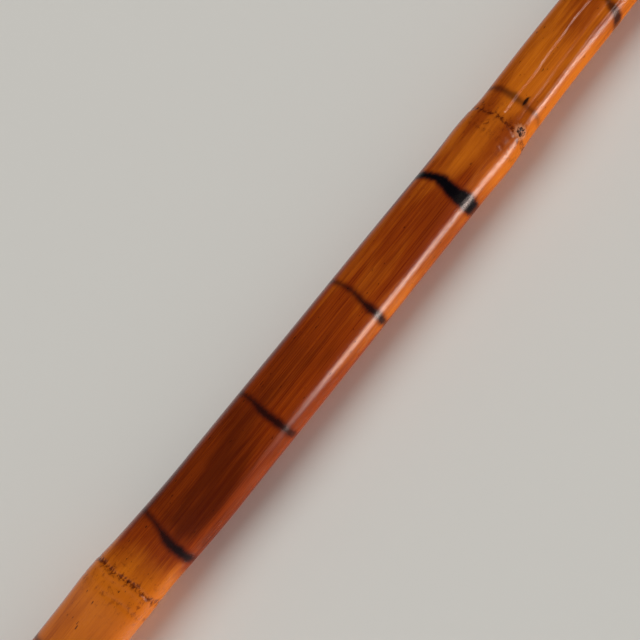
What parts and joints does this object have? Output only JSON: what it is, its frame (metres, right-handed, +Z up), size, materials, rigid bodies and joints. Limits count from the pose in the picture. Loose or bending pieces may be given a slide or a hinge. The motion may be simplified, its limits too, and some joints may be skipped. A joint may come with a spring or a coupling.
{
  "type": "ski pole",
  "caption": "Lacquered bamboo cane ski pole with steel ferrule and spike, rattan snow basket on leather spokes, stitched leather grip, turned knob and buckled wrist strap.",
  "frame": {"origin": "centre of the worn flat end of the spike", "axes": "+Z up the pole towards the knob; +X the side the wrist strap hangs on; +Y the buckled side of the strap"},
  "size_m": [0.186, 0.186, 1.2862],
  "materials": {
    "bamboo": "lacquered cane, scorched rings",
    "tip_steel": "worn steel",
    "basket_steel": "worn steel",
    "dowel": "raw beech",
    "rattan": "varnished rattan",
    "spoke_leather": "oiled harness leather",
    "cork": "raw cork",
    "grip_leather": "polished by use",
    "brass": "tarnished brass",
    "beech": "stained and varnished",
    "strap_leather": "oiled bridle leather"
  },
  "bodies": {
    "pole": {"shaft": "bamboo", "spike": "tip_steel", "ferrule": "tip_steel", "ferrule_pin": "tip_steel", "lower_plug": "dowel", "basket_washer": "basket_steel", "basket_pin": "basket_steel", "grip_core": "cork", "grip_leather": "grip_leather", "grip_collar": "brass", "collar_tack_left": "brass", "collar_tack_right": "brass", "knob": "beech", "knob_washer": "brass", "knob_screw": "brass", "strap_bolt": "brass", "strap_bolt_screw": "brass", "strap_washer_left": "brass", "strap_washer_right": "brass"},
    "basket_hub": {"hub_plate": "basket_steel", "hub_rivet_1": "basket_steel", "hub_rivet_2": "basket_steel", "hub_rivet_3": "basket_steel", "hub_rivet_4": "basket_steel"},
    "basket_ring": {"basket_hoop": "rattan", "splice_band": "basket_steel", "splice_nail_1": "basket_steel", "splice_nail_2": "basket_steel", "spoke_strap_1": "spoke_leather", "spoke_strap_2": "spoke_leather", "spoke_strap_3": "spoke_leather", "spoke_strap_4": "spoke_leather", "hoop_rivet_1": "basket_steel", "hoop_rivet_2": "basket_steel", "hoop_rivet_3": "basket_steel", "hoop_rivet_4": "basket_steel"},
    "strap": {"strap_billet": "strap_leather", "strap_buckle_piece": "strap_leather", "buckle_frame": "brass"},
    "prong": {"buckle_prong": "brass"},
    "keeper": {"strap_keeper": "strap_leather"}
  },
  "joints": [
    {"name": "basket_spin", "type": "hinge", "parent": "pole", "child": "basket_hub", "pos_m": [0, 0, 0.11275], "axis": [0, 0, 1], "continuous": true},
    {"name": "basket_tilt", "type": "hinge", "parent": "basket_hub", "child": "basket_ring", "pos_m": [0, 0, 0.11275], "axis": [1, 0, 0], "range_deg": [-18, 18], "deforming": ["spoke_strap_1", "spoke_strap_2", "spoke_strap_3", "spoke_strap_4"]},
    {"name": "strap_swing", "type": "hinge", "parent": "pole", "child": "strap", "pos_m": [0, 0, 1.22], "axis": [0, 1, 0], "range_deg": [-342, 0]},
    {"name": "prong_lift", "type": "hinge", "parent": "strap", "child": "prong", "pos_m": [0.01651, 0.02651, 1.11576], "axis": [0.9877, 0, 0.1564], "range_deg": [0, 6]},
    {"name": "keeper_slide", "type": "slide", "parent": "strap", "child": "keeper", "axis": [0.1555, 0.1115, -0.9815], "range_m": [-0.008, 0.008]}
  ]
}
